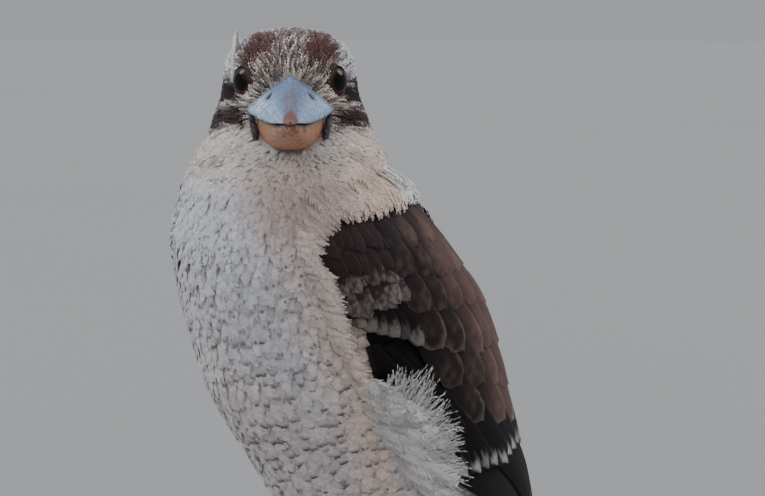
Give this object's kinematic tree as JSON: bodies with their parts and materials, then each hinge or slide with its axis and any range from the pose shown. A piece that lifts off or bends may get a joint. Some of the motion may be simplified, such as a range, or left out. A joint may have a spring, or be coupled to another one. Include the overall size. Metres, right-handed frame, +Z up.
{
  "type": "laughing kookaburra",
  "caption": "Life-size still model of a laughing kookaburra standing upright, head turned to its left, wings folded, tail tip on the floor.",
  "frame": {"origin": "on the floor, under the middle of the bounding box", "axes": "+Z up, +Y along the trailing tail with the breast facing -Y, +X to the bird's left, its head turned 45 degrees to its left"},
  "size_m": [0.1138, 0.2858, 0.244],
  "materials": {
    "breast_plumage": "matt feathers, off-white with faint grey-brown scallops",
    "head_plumage": "matt feathers, cream streaked with dark brown",
    "wing_plumage": "matt feathers, dark brown with pale mottled tips",
    "tail_plumage": "matt feathers, rufous barred with black, white tips",
    "bill_horn_dark": "smooth blue-grey horn, satin",
    "bill_horn_pale": "smooth orange-buff horn, satin",
    "eye": "wet and glossy, dark brown iris",
    "foot_scales": "fine grey-green scales, satin",
    "claw_horn": "smooth dark horn"
  },
  "bodies": {
    "root": {"torso": "breast_plumage", "neck": "breast_plumage", "head": "head_plumage", "bill_upper": "bill_horn_dark", "bill_lower": "bill_horn_pale", "eye_left": "eye", "eye_right": "eye", "wing_left": "wing_plumage", "wing_right": "wing_plumage", "tail": "tail_plumage", "thigh_left": "breast_plumage", "thigh_right": "breast_plumage", "foot_left": "foot_scales", "foot_right": "foot_scales", "claw_left_1": "claw_horn", "claw_right_1": "claw_horn", "claw_left_2": "claw_horn", "claw_right_2": "claw_horn", "claw_left_3": "claw_horn", "claw_right_3": "claw_horn", "claw_left_4": "claw_horn", "claw_right_4": "claw_horn"}
  },
  "joints": []
}
